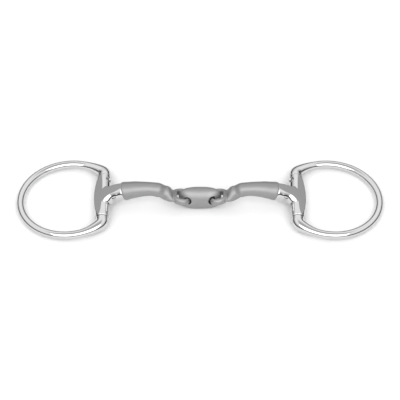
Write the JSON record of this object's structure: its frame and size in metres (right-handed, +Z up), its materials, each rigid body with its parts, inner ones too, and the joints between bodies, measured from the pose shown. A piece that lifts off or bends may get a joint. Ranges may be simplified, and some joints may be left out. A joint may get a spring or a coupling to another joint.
{
  "type": "snaffle bit",
  "caption": "Jointed eggbutt snaffle bit: satin curved arms and oval centre link, polished cheeks and rings that swing in their barrels.",
  "frame": {"origin": "on the resting surface, under the middle of the overall box", "axes": "+X along the mouthpiece to the right ring, +Y along the barrels away from the viewer, +Z up"},
  "size_m": [0.3004, 0.0864, 0.0244],
  "materials": {
    "link_steel": "satin",
    "arm_steel": "satin",
    "cheek_steel": "polished",
    "ring_steel": "polished",
    "stud_steel": "turned",
    "pin_steel": "ground"
  },
  "bodies": {
    "link": {"centre_link": "link_steel"},
    "left_mouthpiece": {"left_arm": "arm_steel", "left_cheek": "cheek_steel", "left_retaining_pin": "pin_steel"},
    "right_mouthpiece": {"right_arm": "arm_steel", "right_cheek": "cheek_steel", "right_retaining_pin": "pin_steel"},
    "left_ring_set": {"left_ring": "ring_steel", "left_upper_stud": "stud_steel", "left_lower_stud": "stud_steel"},
    "right_ring_set": {"right_ring": "ring_steel", "right_upper_stud": "stud_steel", "right_lower_stud": "stud_steel"}
  },
  "joints": [
    {"name": "left_fold", "type": "hinge", "parent": "link", "child": "left_mouthpiece", "pos_m": [-0.0102, -0.0022, 0.00934], "axis": [0, 0.9659, -0.2588], "range_deg": [-35, 35]},
    {"name": "right_fold", "type": "hinge", "parent": "link", "child": "right_mouthpiece", "pos_m": [0.0102, -0.0022, 0.00934], "axis": [0, -0.9659, 0.2588], "range_deg": [-35, 35]},
    {"name": "left_ring_swing", "type": "hinge", "parent": "left_mouthpiece", "child": "left_ring_set", "pos_m": [-0.079, 0, 0.0065], "axis": [0, 1, 0], "range_deg": [-110, 110]},
    {"name": "right_ring_swing", "type": "hinge", "parent": "right_mouthpiece", "child": "right_ring_set", "pos_m": [0.079, 0, 0.0065], "axis": [0, -1, 0], "range_deg": [-110, 110]}
  ]
}
